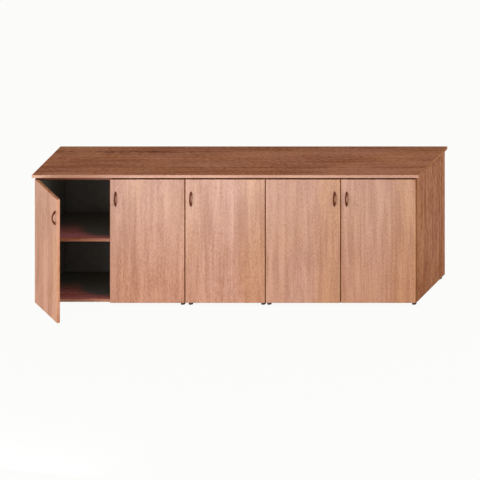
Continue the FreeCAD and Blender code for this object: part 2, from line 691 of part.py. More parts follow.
def fitting_nodes():
    """Feet and small fittings; what is alike shares a node."""
    places = [place for cabinet in CABINETS for place in cam_places(cabinet)]
    faces = []
    for cabinet in CABINETS:
        faces.append((cabinet.left + BOARD, ALONG * -1))
        faces.append((cabinet.right - BOARD, ALONG))
    starts = [start for joint in JOINTS_IN_THE_RUN for start in connector_places(joint)]
    seats = [seat for cabinet in CABINETS for seat in worktop_screw_seats(cabinet)]
    return {
        "feet": group([foot(centre) for cabinet in CABINETS for centre in foot_centres(cabinet)]),
        "cam_locks": group([cam(place) for place in places]),
        "cam_bolts": group([cam_bolt(place) for place in places]),
        "shelf_pins": group([shelf_pin(x, into, y) for (x, into), y in grid(faces, pin_lines())]),
        "connector_bolts": group([connector(start) for start in starts]),
        "worktop_screws": group([screw(seat, UP, BOARD + WORKTOP_SCREW_BITE) for seat in seats]),
    }


# ---- worktop -----------------------------------------------------------------------------------------
def worktop_nodes():
    """The board and the strips round its four edges, mitred at the corners."""
    half = RUN / 2 + WORKTOP_OVERHANG
    low = V(-half, 0, CARCASS_TOP)
    high = V(half, DEPTH, CARCASS_TOP + WORKTOP)
    inset = V(EDGING, EDGING, 0)
    core = block(low + inset, high - inset)
    seats = [seat for cabinet in CABINETS for seat in worktop_screw_seats(cabinet)]
    holes = [screw_hole(seat, UP, BOARD + WORKTOP_SCREW_BITE) for seat in seats]
    sides = (
        (2 * half, 0, V(0, 0, CARCASS_TOP)),
        (DEPTH, 90, V(half, DEPTH / 2, CARCASS_TOP)),
        (2 * half, 180, V(0, DEPTH, CARCASS_TOP)),
        (DEPTH, 270, V(-half, DEPTH / 2, CARCASS_TOP)),
    )
    strips = [edge_strip(length).rotated(V(0, 0, 0), UP, turn).translated(middle)
              for length, turn, middle in sides]
    return {"worktop": cut(core, holes), "worktop_edging": group(strips)}


def edge_strip(length):
    """A strip with its outer face at Y = 0, its outer edges rounded and its ends mitred."""
    bar = block(V(-length / 2, 0, 0), V(length / 2, EDGING, WORKTOP))
    outer_edges = [edge for edge in bar.Edges
                   if edge.BoundBox.YMax < EDGING / 2 and edge.BoundBox.ZLength < WORKTOP / 2]
    bar = bar.makeFillet(EDGE_ROUND, outer_edges)
    spare = 2 * EDGING
    corners = [
        V(-length / 2 - spare, -spare, -spare),
        V(length / 2 + spare, -spare, -spare),
        V(length / 2 - spare, spare, -spare),
        V(-length / 2 + spare, spare, -spare),
    ]
    outline = Part.makePolygon([*corners, corners[0]])
    return bar.common(Part.Face(outline).extrude(UP * (WORKTOP + 2 * spare)))


# ---- the part --------------------------------------------------------------------------------------------
def build():
    """Every node, still with Y = 0 at the closed doors' front."""
    nodes = worktop_nodes()
    for cabinet in CABINETS:
        nodes.update(cabinet_nodes(cabinet))
    nodes.update(fitting_nodes())
    nodes.update(hinge_nodes())
    for door in DOORS:
        nodes.update(door_nodes(door))
    return nodes


NODES = build()
BOX = Part.makeCompound(list(NODES.values())).optimalBoundingBox()
TO_ORIGIN = V(-(BOX.XMin + BOX.XMax) / 2, -(BOX.YMin + BOX.YMax) / 2, -BOX.ZMin)

os.makedirs("parts", exist_ok=True)
for node, shape in NODES.items():
    placed = shape.translated(TO_ORIGIN)
    solids = placed.Solids
    if len(solids) == 1:
        placed = solids[0]
    placed.exportStep(f"parts/{node}.step")
    print(f"{node}: {len(solids)} solids, {sum(solid.Volume for solid in solids) / 1000:.1f} cm3")

print(f"{len(NODES)} nodes, box {BOX.XLength:.2f} x {BOX.YLength:.2f} x {BOX.ZLength:.2f} mm")
print(f"moved by {TO_ORIGIN.x:.4f}, {TO_ORIGIN.y:.4f}, {TO_ORIGIN.z:.4f} mm")
for door in DOORS:
    place = door.pivot + TO_ORIGIN
    turn = f"axis Z {door.axis.z:+.0f}, open {door.open_angle}"
    print(f"{door.name}: hinge at {place.x:.4f}, {place.y:.4f}, {turn}")
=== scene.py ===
# %% [markdown]
# # Dressing an office credenza
# The carcass boards, doors, hinges and fittings come from the CAD model as a fixed frame. This lesson adds
# what the CAD leaves out: a wood-grain laminate that runs the right way on every board, dark insides,
# rounded hinges, screws with a cross recess and a thread, ribbed feet, and the light and camera of a
# catalogue picture.

# %% Load the frame
import math

import bmesh
import bpy
from mathutils import Matrix, Vector


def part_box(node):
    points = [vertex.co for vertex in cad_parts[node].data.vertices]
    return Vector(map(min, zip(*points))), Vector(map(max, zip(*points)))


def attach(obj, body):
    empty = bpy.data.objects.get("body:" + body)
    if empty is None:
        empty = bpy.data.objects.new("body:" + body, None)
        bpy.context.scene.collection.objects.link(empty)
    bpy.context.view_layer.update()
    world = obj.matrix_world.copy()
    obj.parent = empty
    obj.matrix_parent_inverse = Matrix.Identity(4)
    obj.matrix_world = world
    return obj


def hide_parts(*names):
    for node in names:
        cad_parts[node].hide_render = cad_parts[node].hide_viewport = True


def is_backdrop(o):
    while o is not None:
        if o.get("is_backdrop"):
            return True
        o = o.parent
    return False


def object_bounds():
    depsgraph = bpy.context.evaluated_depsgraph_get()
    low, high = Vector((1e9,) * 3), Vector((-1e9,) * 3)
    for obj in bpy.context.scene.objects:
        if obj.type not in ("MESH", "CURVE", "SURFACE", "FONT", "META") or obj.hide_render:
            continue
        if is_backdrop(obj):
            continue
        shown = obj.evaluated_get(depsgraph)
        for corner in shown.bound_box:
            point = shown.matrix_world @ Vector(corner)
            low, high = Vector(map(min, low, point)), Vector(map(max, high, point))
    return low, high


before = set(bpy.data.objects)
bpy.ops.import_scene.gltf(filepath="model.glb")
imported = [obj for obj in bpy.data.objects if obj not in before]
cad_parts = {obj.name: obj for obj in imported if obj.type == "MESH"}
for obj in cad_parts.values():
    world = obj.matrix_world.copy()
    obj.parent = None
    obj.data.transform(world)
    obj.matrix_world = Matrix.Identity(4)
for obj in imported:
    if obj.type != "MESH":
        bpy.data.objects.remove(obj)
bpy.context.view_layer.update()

MM = 0.001
PICTURE = 480                                   # picture points along each side

# %% [markdown]
# ## A catalogue's oblique camera
# Furniture catalogues often draw a run of cabinets square on, with its depth running up to the right.
# An ordinary camera can't do that: turn it, and the front is squeezed. A parallel camera whose view
# direction leans away from its picture plane can. Its object matrix keeps the picture's axes level and
# upright, and only the third axis leans. Blender stores such a lean in the inverse of a parent's matrix.

# %% The camera
POINT_SIZE = 5.97 * MM                          # what one picture point covers on the doors' plane
LEAN = 0.344                                    # how far depth moves a point right, and as far up
SIGHT = 5.0                                     # from the doors' plane back to the camera
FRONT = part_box("door_3_panel")[0].y
VIEW_CENTRE = Vector((0.0892, FRONT, 0.3966))


def leaning_camera(name, centre, lean, width):
    """A parallel camera that looks square at the front while depth runs up to the right."""
    lens = bpy.data.cameras.new(name)
    lens.type = "ORTHO"
    lens.ortho_scale = width
    lens.clip_end = SIGHT * 10
    camera = bpy.data.objects.new(name, lens)
    stand = bpy.data.objects.new(name + "_stand", None)
    for piece in (stand, camera):
        bpy.context.scene.collection.objects.link(piece)
    stand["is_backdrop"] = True
    back = Vector((lean, -1.0, lean))
    columns = (Vector((1, 0, 0)), Vector((0, 0, 1)), back, centre + back * SIGHT)
    camera.parent = stand
    camera.matrix_parent_inverse = Matrix([[column[row] for column in columns] for row in range(3)]
                                          + [[0, 0, 0, 1]])
    return camera


bpy.context.scene.camera = leaning_camera("catalogue_camera", VIEW_CENTRE, LEAN, PICTURE * POINT_SIZE)
bpy.context.view_layer.update()
print("camera looks along", bpy.context.scene.camera.matrix_world.col[2].to_3d())

# %% [markdown]
# ## Light
# The light is that of a plain studio: a wide soft lamp far in front on the left, no higher than the
# worktop so that the top stays a shade darker than the doors, a weaker one on the right for the end panel,
# a low one whose sheen pales the doors, and an even glow from all round. Lamps at this level show a colour
# about as it is written. The white round the object isn't light on it: the floor and the world look white
# to the camera and in reflections, while the floor keeps the object's soft shadow.

# %% Lamps, world and floor
SKY_GLOW = 0.59
LAMPS = (                                       # name, place, aim, width, height, watts
    ("key", Vector((-2.3, -5.5, 0.74)), Vector((-0.1, 0.0, 0.4)), 3.6, 0.6, 160.0),
    ("side", Vector((4.6, -2.2, 1.3)), Vector((1.1, 0.2, 0.4)), 2.0, 2.0, 38.0),
    ("sheen", Vector((-1.0, -2.7, 0.17)), Vector((-0.1, 0.0, 0.6)), 2.4, 0.24, 12.0),
)


def soft_lamp(name, place, aim, width, height, watts):
    """A rectangular lamp that points from its place to its aim."""
    lamp = bpy.data.lights.new(name + "_lamp", "AREA")
    lamp.shape = "RECTANGLE"
    lamp.size = width
    lamp.size_y = height
    lamp.energy = watts
    holder = bpy.data.objects.new(name + "_lamp", lamp)
    holder.location = place
    holder.rotation_euler = (aim - place).to_track_quat("-Z", "Y").to_euler()
    bpy.context.scene.collection.objects.link(holder)


for lamp_facts in LAMPS:
    soft_lamp(*lamp_facts)

bpy.context.scene.view_settings.view_transform = "Standard"
print(len(LAMPS), "lamps")

# %% [markdown]
# ## Shader arithmetic
# A material is a graph of nodes, but a graph is slow to read. One small class wraps an output socket, so
# that an expression such as `1 - mask * 0.5` adds the nodes it needs. Numbers go through Math nodes,
# vectors through Vector Math and colours through Mix.

# %% A socket that does sums
COLOUR_A, COLOUR_B, COLOUR_RESULT = 6, 7, 2     # places of the colour sockets on a Mix node


class Wire:
    """A node's output that can be used in Python expressions."""

    def __init__(self, tree, socket=None):
        self.tree = tree
        self.socket = socket

    def node(self, kind, settings=None, inputs=None, output=0):
        """Adds a node: its settings come first, then the values or links of its sockets."""
        made = self.tree.nodes.new(kind)
        for name, value in (settings or {}).items():
            setattr(made, name, value)
        for name, value in (inputs or {}).items():
            if isinstance(value, Wire):
                self.tree.links.new(value.socket, made.inputs[name])
            else:
                made.inputs[name].default_value = value
        return Wire(self.tree, made.outputs[output])

    def sum_with(self, operation, other, swapped=False):
        """The node for one operator, of the kind that its operands need."""
        pair = [other, self] if swapped else [self, other]
        kinds = {part.socket.type for part in pair if isinstance(part, Wire)}
        if "RGBA" in kinds:
            pair = [(part,) * 3 + (1.0,) if isinstance(part, (int, float)) else part for part in pair]
            return self.node("ShaderNodeMix", {"data_type": "RGBA", "blend_type": operation},
                             {0: 1.0, COLOUR_A: pair[0], COLOUR_B: pair[1]}, COLOUR_RESULT)
        if "VECTOR" in kinds:
            pair = [(part,) * 3 if isinstance(part, (int, float)) else part for part in pair]
            return self.node("ShaderNodeVectorMath", {"operation": operation}, {0: pair[0], 1: pair[1]})
        return self.node("ShaderNodeMath", {"operation": operation}, {0: pair[0], 1: pair[1]})

    def __add__(self, other):
        return self.sum_with("ADD", other)

    def __radd__(self, other):
        return self.sum_with("ADD", other, True)

    def __sub__(self, other):
        return self.sum_with("SUBTRACT", other)

    def __rsub__(self, other):
        return self.sum_with("SUBTRACT", other, True)

    def __mul__(self, other):
        return self.sum_with("MULTIPLY", other)

    def __rmul__(self, other):
        return self.sum_with("MULTIPLY", other, True)


def mixed(first, second, share):
    """A colour between two, by a mask from 0 to 1."""
    return share.node("ShaderNodeMix", {"data_type": "RGBA"},
                      {0: share, COLOUR_A: first, COLOUR_B: second}, COLOUR_RESULT)


def step(value, low, high):
    """0 below low, 1 above high, and a smooth ramp between."""
    return value.node("ShaderNodeMapRange", {"interpolation_type": "SMOOTHSTEP"},
                      {"Value": value, "From Min": low, "From Max": high})


def noise(place, scale, detail=2.0, roughness=0.5, distortion=0.0):
    """Soft noise round 0.5, with scale cells to the metre."""
    return place.node("ShaderNodeTexNoise", {}, {"Vector": place, "Scale": scale, "Detail": detail,
                                                 "Roughness": roughness, "Distortion": distortion})


def parts_of(vector):
    """The X, Y and Z of a vector as three values."""
    split = vector.node("ShaderNodeSeparateXYZ", {}, {0: vector})
    return [Wire(vector.tree, output) for output in split.socket.node.outputs]


def new_finish(name):
    """An empty material, and the place on the object."""
    material = bpy.data.materials.new(name)
    material.use_nodes = True
    return material, Wire(material.node_tree).node("ShaderNodeTexCoord", {}, {}, "Object")


def fill_shader(material, base, roughness, height=None, lift=0.0, constants=None, coat=None):
    """Feeds the material's shader: colour, gloss, bump, coat, and numbers that are the same all over."""
    tree = material.node_tree
    shader = tree.nodes["Principled BSDF"]
    for name, value in (constants or {}).items():
        shader.inputs[name].default_value = value
    for name, value in (("Base Color", base), ("Roughness", roughness), ("Coat Weight", coat)):
        if isinstance(value, Wire):
            tree.links.new(value.socket, shader.inputs[name])
        elif value is not None:
            shader.inputs[name].default_value = value
    if height is not None:
        bump = height.node("ShaderNodeBump", {}, {"Height": height, "Distance": lift, "Strength": 1.0})
        tree.links.new(bump.socket, shader.inputs["Normal"])
    return material


def written(red, green, blue):
    """A screen colour from 0 to 255 as the linear colour that a shader takes."""
    return tuple((part / 255 / 12.92) if part < 10.3 else ((part / 255 + 0.055) / 1.055) ** 2.4
                 for part in (red, green, blue)) + (1.0,)


print("colour check", [round(part, 3) for part in written(221, 180, 158)])

# %% The white surroundings
WHITE = written(254, 255, 253)
FLOOR_TONE = written(232, 232, 230)
FLOOR_GLOW = 0.95                               # how much of the floor's look is plain white
FLOOR_ROUGHNESS = 0.9
FLOOR_HALF = 30.0                               # metres from its middle to its edges


def to_be_seen(start):
    """1 for rays from the camera, in reflections and through glass, and 0 for light."""
    seen = [start.node("ShaderNodeLightPath", {}, {}, name)
            for name in ("Is Camera Ray", "Is Glossy Ray", "Is Transmission Ray")]
    return step(seen[0] + seen[1] + seen[2], 0.0, 1.0)


def white_world():
    """An even glow that looks pure white."""
    world = bpy.data.worlds.new("studio")
    world.use_nodes = True
    background = world.node_tree.nodes["Background"]
    background.inputs["Color"].default_value = WHITE
    level = SKY_GLOW + to_be_seen(Wire(world.node_tree)) * (1 - SKY_GLOW)
    world.node_tree.links.new(level.socket, background.inputs["Strength"])
    bpy.context.scene.world = world


def white_floor():
    """A plain floor that looks white and keeps a soft shadow."""
    mesh = bpy.data.meshes.new("floor")
    corners = [(x * FLOOR_HALF, y * FLOOR_HALF, 0) for x, y in ((-1, -1), (1, -1), (1, 1), (-1, 1))]
    mesh.from_pydata(corners, [], [(0, 1, 2, 3)])
    floor = bpy.data.objects.new("floor", mesh)
    bpy.context.scene.collection.objects.link(floor)
    floor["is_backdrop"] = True
    material = bpy.data.materials.new("studio_floor")
    material.use_nodes = True
    tree = material.node_tree
    shader = tree.nodes["Principled BSDF"]
    shader.inputs["Base Color"].default_value = FLOOR_TONE
    shader.inputs["Roughness"].default_value = FLOOR_ROUGHNESS
    share = to_be_seen(Wire(tree)) * FLOOR_GLOW
    glow = share.node("ShaderNodeEmission", {}, {"Color": WHITE, "Strength": 1.0})
    lit = Wire(tree, shader.outputs[0])
    look = share.node("ShaderNodeMixShader", {}, {0: share, 1: lit, 2: glow})
    tree.links.new(look.socket, tree.nodes["Material Output"].inputs["Surface"])
    floor.data.materials.append(material)


white_world()
white_floor()
print("floor", FLOOR_HALF * 2, "metres wide")

# %% [markdown]
# ## Wood-grain laminate
# The boards are faced with a printed pear-wood pattern. Real grain is long and thin, so every layer of
# noise is squeezed along the board: broad soft clouds, streaks as wide as a finger, fibre lines as long as
# an arm, short flecks and fine pores. A slow layer of its own shifts the wood between pink and yellow. A
# solid pattern, one that fills space, needs no unwrapping, and it meets at the edges. The doors and the
# boards' front edges have a lacquer film over the print, which pales them where light comes back from it;
# the rest of the carcass is matt. That film is the shader's coat. Where boards meet, the colour is darkened
# within a few millimetres of another surface, as the Ambient Occlusion node finds: painted shade.

# %% The print's colours and layers
PLAIN_WHITE = (1.0, 1.0, 1.0, 1.0)
MATT_WOOD = (written(156, 96, 65), written(199, 141, 104))         # dark and light strokes of the print
FILMED_WOOD = (written(158, 95, 56), written(197, 141, 109))       # under a film, which adds white to both
PINKER = (0.993, 0.985, 1.055, 1.0)
YELLOWER = (1.008, 1.012, 0.925, 1.0)
FILM = {"Coat Roughness": 0.38, "Coat IOR": 1.8, "Specular IOR Level": 0.0}
WOOD_GLOSS = (0.5, 0.05)                        # roughness, and how much more of it light strokes have
PORE_DEPTH = 0.04 * MM

# Layers: how far stretched along the board, cells to the metre, detail, roughness and distortion.
CLOUDS = (3.0, 6.0, 2.0, 0.5, 0.4)
HILLS = (5.0, 5.0, 1.0, 0.5, 0.6)
FIBRES = (20.0, 36.0, 4.0, 0.72, 0.15)
PORES = (14.0, 900.0, 1.0, 0.5, 0.0)
HUES = (2.5, 5.0, 5.0, 0.68, 0.0)
HILL_RINGS = 9.0                                # rings that a full hill is cut into
CLOUD_SHARE = 0.9                               # how much each layer changes the tone
RING_SHARE = 0.22
FIBRE_SHARE = 1.5
PORE_SHARE = 0.16
NOISE_MEAN = 0.5                                # taken off each layer, so that the tone stays round 0.5
RING_MEAN = 0.25
FLECK_MEAN = 0.35
FLECK_RANGE = (0.40, 0.72)                      # where noise turns into a fleck, a pore or the yellower hue
PORE_RANGE = (0.57, 0.68)
HUE_RANGE = (0.38, 0.66)

# Styles of print: contrast, width of the streaks, and the flecks' cells to the metre, stretch and strength.
PLAIN = (1.0, 1.0, 210.0, 3.2, 0.33)
BOLD = (1.10, 1.5, 150.0, 6.0, 0.34)
END_PANEL = (1.4, 1.4, 130.0, 5.0, 0.36)
BROAD = (1.3, 1.8, 150.0, 4.0, 0.45)
for shade in MATT_WOOD:
    print("wood", [round(part, 3) for part in shade[:3]])

# %% The grain
AXES = {"x": 0, "y": 1, "z": 2}
SEED_WAY = (1.37, 2.11, 0.73)                   # how far one step of the seed moves the pattern
FACING = (0.55, 0.8)                            # how squarely a face has to look some way


def along(place, axis, stretch):
    """The same place, with distances along one axis made shorter."""
    squeeze = [1.0, 1.0, 1.0]
    squeeze[AXES[axis]] = 1.0 / stretch
    return place * tuple(squeeze)


def layer(place, axis, facts, width=1.0):
    """One layer of the print."""
    stretch, cells, detail, roughness, distortion = facts
    return noise(along(place, axis, stretch), cells / width, detail, roughness, distortion)


def grain(place, axis, seed, style):
    """Value round 0.5 from dark to light wood, the pores, and a slow change from pink to yellow."""
    contrast, width, fleck_cells, fleck_stretch, fleck_share = style
    moved = place + tuple(seed * part for part in SEED_WAY)
    clouds = layer(moved, axis, CLOUDS)
    waves = layer(moved, axis, HILLS, width) * HILL_RINGS
    rings = waves.node("ShaderNodeMath", {"operation": "PINGPONG"}, {0: waves, 1: 0.5})
    fibres = layer(moved, axis, FIBRES, width)
    flecks = step(noise(along(moved, axis, fleck_stretch), fleck_cells, 1.0), *FLECK_RANGE)
    pores = step(layer(moved, axis, PORES), *PORE_RANGE)
    tone = ((clouds - NOISE_MEAN) * CLOUD_SHARE + (rings - RING_MEAN) * RING_SHARE
            + (fibres - NOISE_MEAN) * FIBRE_SHARE - (flecks - FLECK_MEAN) * fleck_share)
    hue = step(layer(moved, axis, HUES), *HUE_RANGE)
    return 0.5 + tone * contrast - pores * PORE_SHARE, pores, hue


def looks(place, ways, squareness=FACING):
    """1 where a surface faces along one of the ways, and 0 elsewhere."""
    facing = place.node("ShaderNodeTexCoord", {}, {}, "Normal")
    masks = []
    for way in ways:
        share = facing.node("ShaderNodeVectorMath", {"operation": "DOT_PRODUCT"},
                            {0: facing, 1: way}, "Value")
        masks.append(step(share, *squareness))
    return sum(masks[1:], masks[0])


def tinted(colour, tint):
    """A colour with its red, green and blue each multiplied."""
    return tuple(part * share for part, share in zip(colour, tint)) + (1.0,)


def wood(tone, hue, tint, shades):
    """The colour for a tone from 0 to 1, a hue from pink to yellow, and a tint for red, green and blue."""
    dark, light = [tinted(colour, tint) for colour in shades]
    return mixed(dark, light, step(tone, 0.0, 1.0)) * mixed(PINKER, YELLOWER, hue)


print("seed 1 moves the print by", SEED_WAY, "metres")

# %% Shade where boards meet
JOINT_REACH = 12.0 * MM                         # how near another board darkens a surface
JOINT_DARKNESS = 0.6
JOINT_SAMPLES = 8


# Painted shade: the colour darkens where another surface is near, as shade falls there.
def painted_joint_shade(start):
    """1 in the open, less where another surface is a few millimetres away."""
    openness = start.node("ShaderNodeAmbientOcclusion", {"samples": JOINT_SAMPLES},
                          {"Distance": JOINT_REACH}, "AO")
    return 1 - (1 - openness) * JOINT_DARKNESS


print("joints darken within", JOINT_REACH / MM, "mm")

# %% [markdown]
# ## Dark melamine
# Inside, the boards are dark. On the bottoms and the shelves a redder strip of wood lies on top behind the
# front edge, and it reaches farther back towards the left end. The wood is the board's own; its red
# brightness and its outline are painted light, where light falls in from the front.

# %% The dark faces
INSIDE = written(112, 110, 102)
SPECKLE_CELLS = 900.0
SPECKLE_GAIN = (1.3, 1.3, 1.3)                  # the light specks, next to the dark ones
# Painted light: the wood on the shelf tops is made redder and brighter where light falls in from the front.
PAINTED_LIGHT_REDDER = (1.45, 1.15, 1.9, 1.0)                 # the wood on top of a shelf, next to that on its edge
SHELF_FRONT = -54.0 * MM
# How far back the painted light on a shelf top reaches, and where it shortens and fades.
LONG_REACH = 330.0 * MM
SHORT_REACH = 95.0 * MM
REACH_SHORTENS = (-0.98, -0.74)                 # metres from the middle of the run
REACH_FADES = (0.3, 1.0)                        # shares of the reach
UPWARDS = Vector((0.0, 0.0, 1.0))


def painted_light_on_shelf(place):
    """Painted light: 1 at a shelf's front edge, less behind; it reaches farther back towards the left end.
    """
    across, depth = parts_of(place)[:2]
    fall = 1 / LONG_REACH + step(across, *REACH_SHORTENS) * (1 / SHORT_REACH - 1 / LONG_REACH)
    return 1 - step((depth - SHELF_FRONT) * fall, *REACH_FADES)


def darkened(base, place, ways):
    """Dark melamine on faces that look along the ways, behind redder, painted-light wood on a top face."""
    melamine = mixed(INSIDE, tinted(INSIDE, SPECKLE_GAIN), noise(place, SPECKLE_CELLS))
    dark = looks(place, ways)
    if UPWARDS in ways:
        upper = looks(place, [UPWARDS])
        base = base * mixed(PLAIN_WHITE, PAINTED_LIGHT_REDDER, upper)
        dark = dark - upper * painted_light_on_shelf(place)
    return mixed(base, melamine, dark)


print("inside", [round(part, 3) for part in INSIDE[:3]])

# %% [markdown]
# ## One recipe for every board
# The doors, the sides, the shelves and the worktop's edging differ only in the way that the grain runs, in
# their tint, and in which of their faces are filmed or dark. So one function makes all of their materials
# from those facts. The faces are told apart by the way that they look, which the Texture Coordinate node
# gives as Normal. That needs no second material on a board.

# %% The laminate
# Painted light: a warmer cast on three doors towards their right edges.
PAINTED_WARM_TINT = (0.99, 0.945, 0.70, 1.0)                 # where a door turns warmer
FILM_HEIGHTS = (0.05, 0.75)                     # where the film's strength starts and ends to change
FILM_EDGE = (0.85, 0.98)                        # how squarely a filmed face has to look its way


def warmer(base, place, low, high, share):
    """Painted light: the print turns warmer from one place across the run to another."""
    return base * mixed(PLAIN_WHITE, PAINTED_WARM_TINT, step(parts_of(place)[AXES["x"]], low, high) * share)


def film_coat(place, low, high, ways):
    """The film's strength, from the bottom to the top, on the faces that look along the ways."""
    height = parts_of(place)[AXES["z"]]
    return looks(place, ways, FILM_EDGE) * (low + step(height, *FILM_HEIGHTS) * (high - low))


def wood_surface(material, base, tone, pores, coat=None):
    """The gloss, the pores and the film of every printed board."""
    middle, more = WOOD_GLOSS
    roughness = middle + (tone - NOISE_MEAN) * more
    return fill_shader(material, base, roughness, pores, -PORE_DEPTH, FILM, coat)


def laminate(name, axis, seed, tint, style=PLAIN, film=None, dark=None, painted_warm_span=None):
    """Printed wood. Film is its strength at the bottom and at the top, and the ways that filmed faces look.
    Dark is the ways that dark faces look. The warm span is from where to where, across the run, the
    print turns warmer as painted light, and how much."""
    material, place = new_finish(name)
    tone, pores, hue = grain(place, axis, seed, style)
    base = wood(tone, hue, tint, FILMED_WOOD if film else MATT_WOOD)
    if painted_warm_span:
        base = warmer(base, place, *painted_warm_span)
    if dark:
        base = darkened(base, place, dark)
    coat = film_coat(place, *film) if film else None
    return wood_surface(material, base * painted_joint_shade(place), tone, pores, coat)


def dress(node, material):
    """Gives a CAD node one material."""
    mesh = bpy.data.objects[node].data
    mesh.materials.clear()
    mesh.materials.append(material)


print("film strength changes from", FILM_HEIGHTS[0], "to", FILM_HEIGHTS[1], "metres above the floor")

# %% [markdown]
# ## Doors
# Each door is cut from its own stretch of the print, so no two have the same grain, and their tone differs
# a little; three of them turn warmer towards their right edge, which is painted light. The film is on the
# faces, not on the rounded corners, the top or the bottom. The first door stands open at rest, so its faces
# look another way than those of the closed ones, and it turns its upright edges to the light: there it has
# the film on them too.

# %% The doors' finish
FIRST_DOOR_OPEN = math.radians(54.6)
FRONTWARDS = Vector((0.0, -1.0, 0.0))
# The warm stretch is where painted warmer light falls across the run.
DOORS = {                                       # seed, tint, film at the bottom and the top, warm stretch
    1: (111, (1.07, 1.07, 1.07), (0.55, 0.75), None),
    2: (102, (0.965, 0.965, 0.965), (0.70, 1.0), None),
    3: (43, (1.035, 1.10, 1.25), (0.74, 0.98), (0.03, 0.16, 0.75)),
    4: (4, (0.95, 0.955, 0.98), (0.95, 0.88), (0.50, 0.60, 1.0)),
    5: (25, (0.955, 0.965, 0.985), (0.76, 1.0), (0.95, 1.07, 1.0)),
}


def door_front(number):
    """The way that a door's front looks at rest."""
    turn = -FIRST_DOOR_OPEN if number == 1 else 0.0
    return Matrix.Rotation(turn, 3, "Z") @ FRONTWARDS


for number, (seed, tint, film, painted_warm_span) in DOORS.items():
    way = door_front(number)
    ways = [way, -way]
    if number == 1:
        aside = way.cross(UPWARDS)
        ways += [aside, -aside]
    style = BOLD if number == 1 else PLAIN
    finish = laminate(f"door_{number}_laminate", "z", seed, tint, style, film + (ways,), None, painted_warm_span)
    dress(f"door_{number}_panel", finish)
    print("door", number, "looks along", [round(part, 3) for part in way])

# %% [markdown]
# ## Carcass
# The end panels and the worktop carry the same print without the film. Inside, the sides, the bottoms and
# the shelves are dark, with wood on their front edges. The rails under the worktop are dark all over, which
# paints the shade in the gap between the worktop and the doors.

# %% The carcass boards
SIDE_SEED = 147
SIDE_TINT = (1.01, 1.015, 1.10)
SHELF_SEED = 5
SHELF_TINT = (1.04, 1.02, 1.12)
SHELF_FILM = (0.4, 0.5, [FRONTWARDS])
SHELF_DARK = [UPWARDS, -UPWARDS]
CABINETS = ("left", "middle", "right")
for cabinet in CABINETS:
    for side, inwards in (("left", (1, 0, 0)), ("right", (-1, 0, 0))):
        name = f"{cabinet}_{side}_side_laminate"
        upright_board = laminate(name, "z", SIDE_SEED, SIDE_TINT, END_PANEL, None, [inwards])
        dress(f"{cabinet}_cabinet_{side}_side", upright_board)
flat_board = laminate("shelf_laminate", "x", SHELF_SEED, SHELF_TINT, PLAIN, SHELF_FILM, SHELF_DARK)
for cabinet in CABINETS:
    for board in ("bottom", "shelf"):
        dress(f"{cabinet}_cabinet_{board}", flat_board)
print(len(bpy.data.materials), "materials with the boards'")

# %% The worktop and its edging
TOP_SEED = 83
# Darker than the doors' tint: in part painted shade on the worktop's upward face.
TOP_TINT_AND_SHADE = (0.94, 0.865, 0.93)
STROKES = (4.0, 75.0, 2.0, 0.6, 0.0)            # the short dark strokes that a vein is made of
STROKE_RANGE = (0.44, 0.58)
PATCH_CELLS = 4.0                               # a vein comes and goes in patches
PATCH_RANGE = (0.30, 0.50)
VEIN_ENDS = (-0.45, 0.0)                        # metres from the middle of the run
VEIN_FADES = (0.5, 1.5)                         # where a vein starts and ends to fade, in half widths
BACK_VEIN = (0.324, 0.020)                      # where a dark vein runs, and half its width
BACK_VEIN_SHARE = 0.50
FRONT_VEIN = (0.056, 0.008)
FRONT_VEIN_SHARE = 0.2
BACK_BAND = (0.30, 0.40)                        # where the worktop turns darker behind
BACK_BAND_SHARE = 0.13
EDGING_SEED = 4
# Paler than the print: in part a painted sheen on the worktop's front edge.
EDGING_TINT_AND_SHEEN = (1.04, 1.04, 1.04)
EDGING_FILM = (1.0, 1.0, [FRONTWARDS])


def vein(depth, middle, half):
    """1 on a line along the worktop, fading out to both sides."""
    full, gone = [half * share for share in VEIN_FADES]
    return step(depth, middle - gone, middle - full) * (1 - step(depth, middle + full, middle + gone))


def worktop_laminate(name):
    """Grain along the worktop, a broken dark vein towards the back on the left, a faint one towards the
    front, and a darker band behind."""
    material, place = new_finish(name)
    tone, pores, hue = grain(place, "x", TOP_SEED, BROAD)
    across, depth = parts_of(place)[:2]
    strokes = step(layer(place, "x", STROKES), *STROKE_RANGE)
    patches = step(noise(place, PATCH_CELLS, 1.0), *PATCH_RANGE) * (1 - step(across, *VEIN_ENDS))
    veins = (vein(depth, *BACK_VEIN) * patches * BACK_VEIN_SHARE
             + vein(depth, *FRONT_VEIN) * FRONT_VEIN_SHARE)
    darker = 1 - strokes * veins - step(depth, *BACK_BAND) * BACK_BAND_SHARE
    base = wood(tone, hue, TOP_TINT_AND_SHADE, MATT_WOOD) * darker * painted_joint_shade(place)
    return wood_surface(material, base, tone, pores)


dress("worktop", worktop_laminate("worktop_laminate"))
dress("worktop_edging", laminate("edging_laminate", "x", EDGING_SEED, EDGING_TINT_AND_SHEEN, PLAIN, EDGING_FILM))
print("dark vein", BACK_VEIN[0], "m behind the middle of the box")

# %% [markdown]
# ## Plain coated and moulded surfaces
# Hardboard, plastic and plated steel have no pattern, but none of them is one flat colour either: a faint
# cloud changes tone and gloss, and a fine skin breaks up the light.

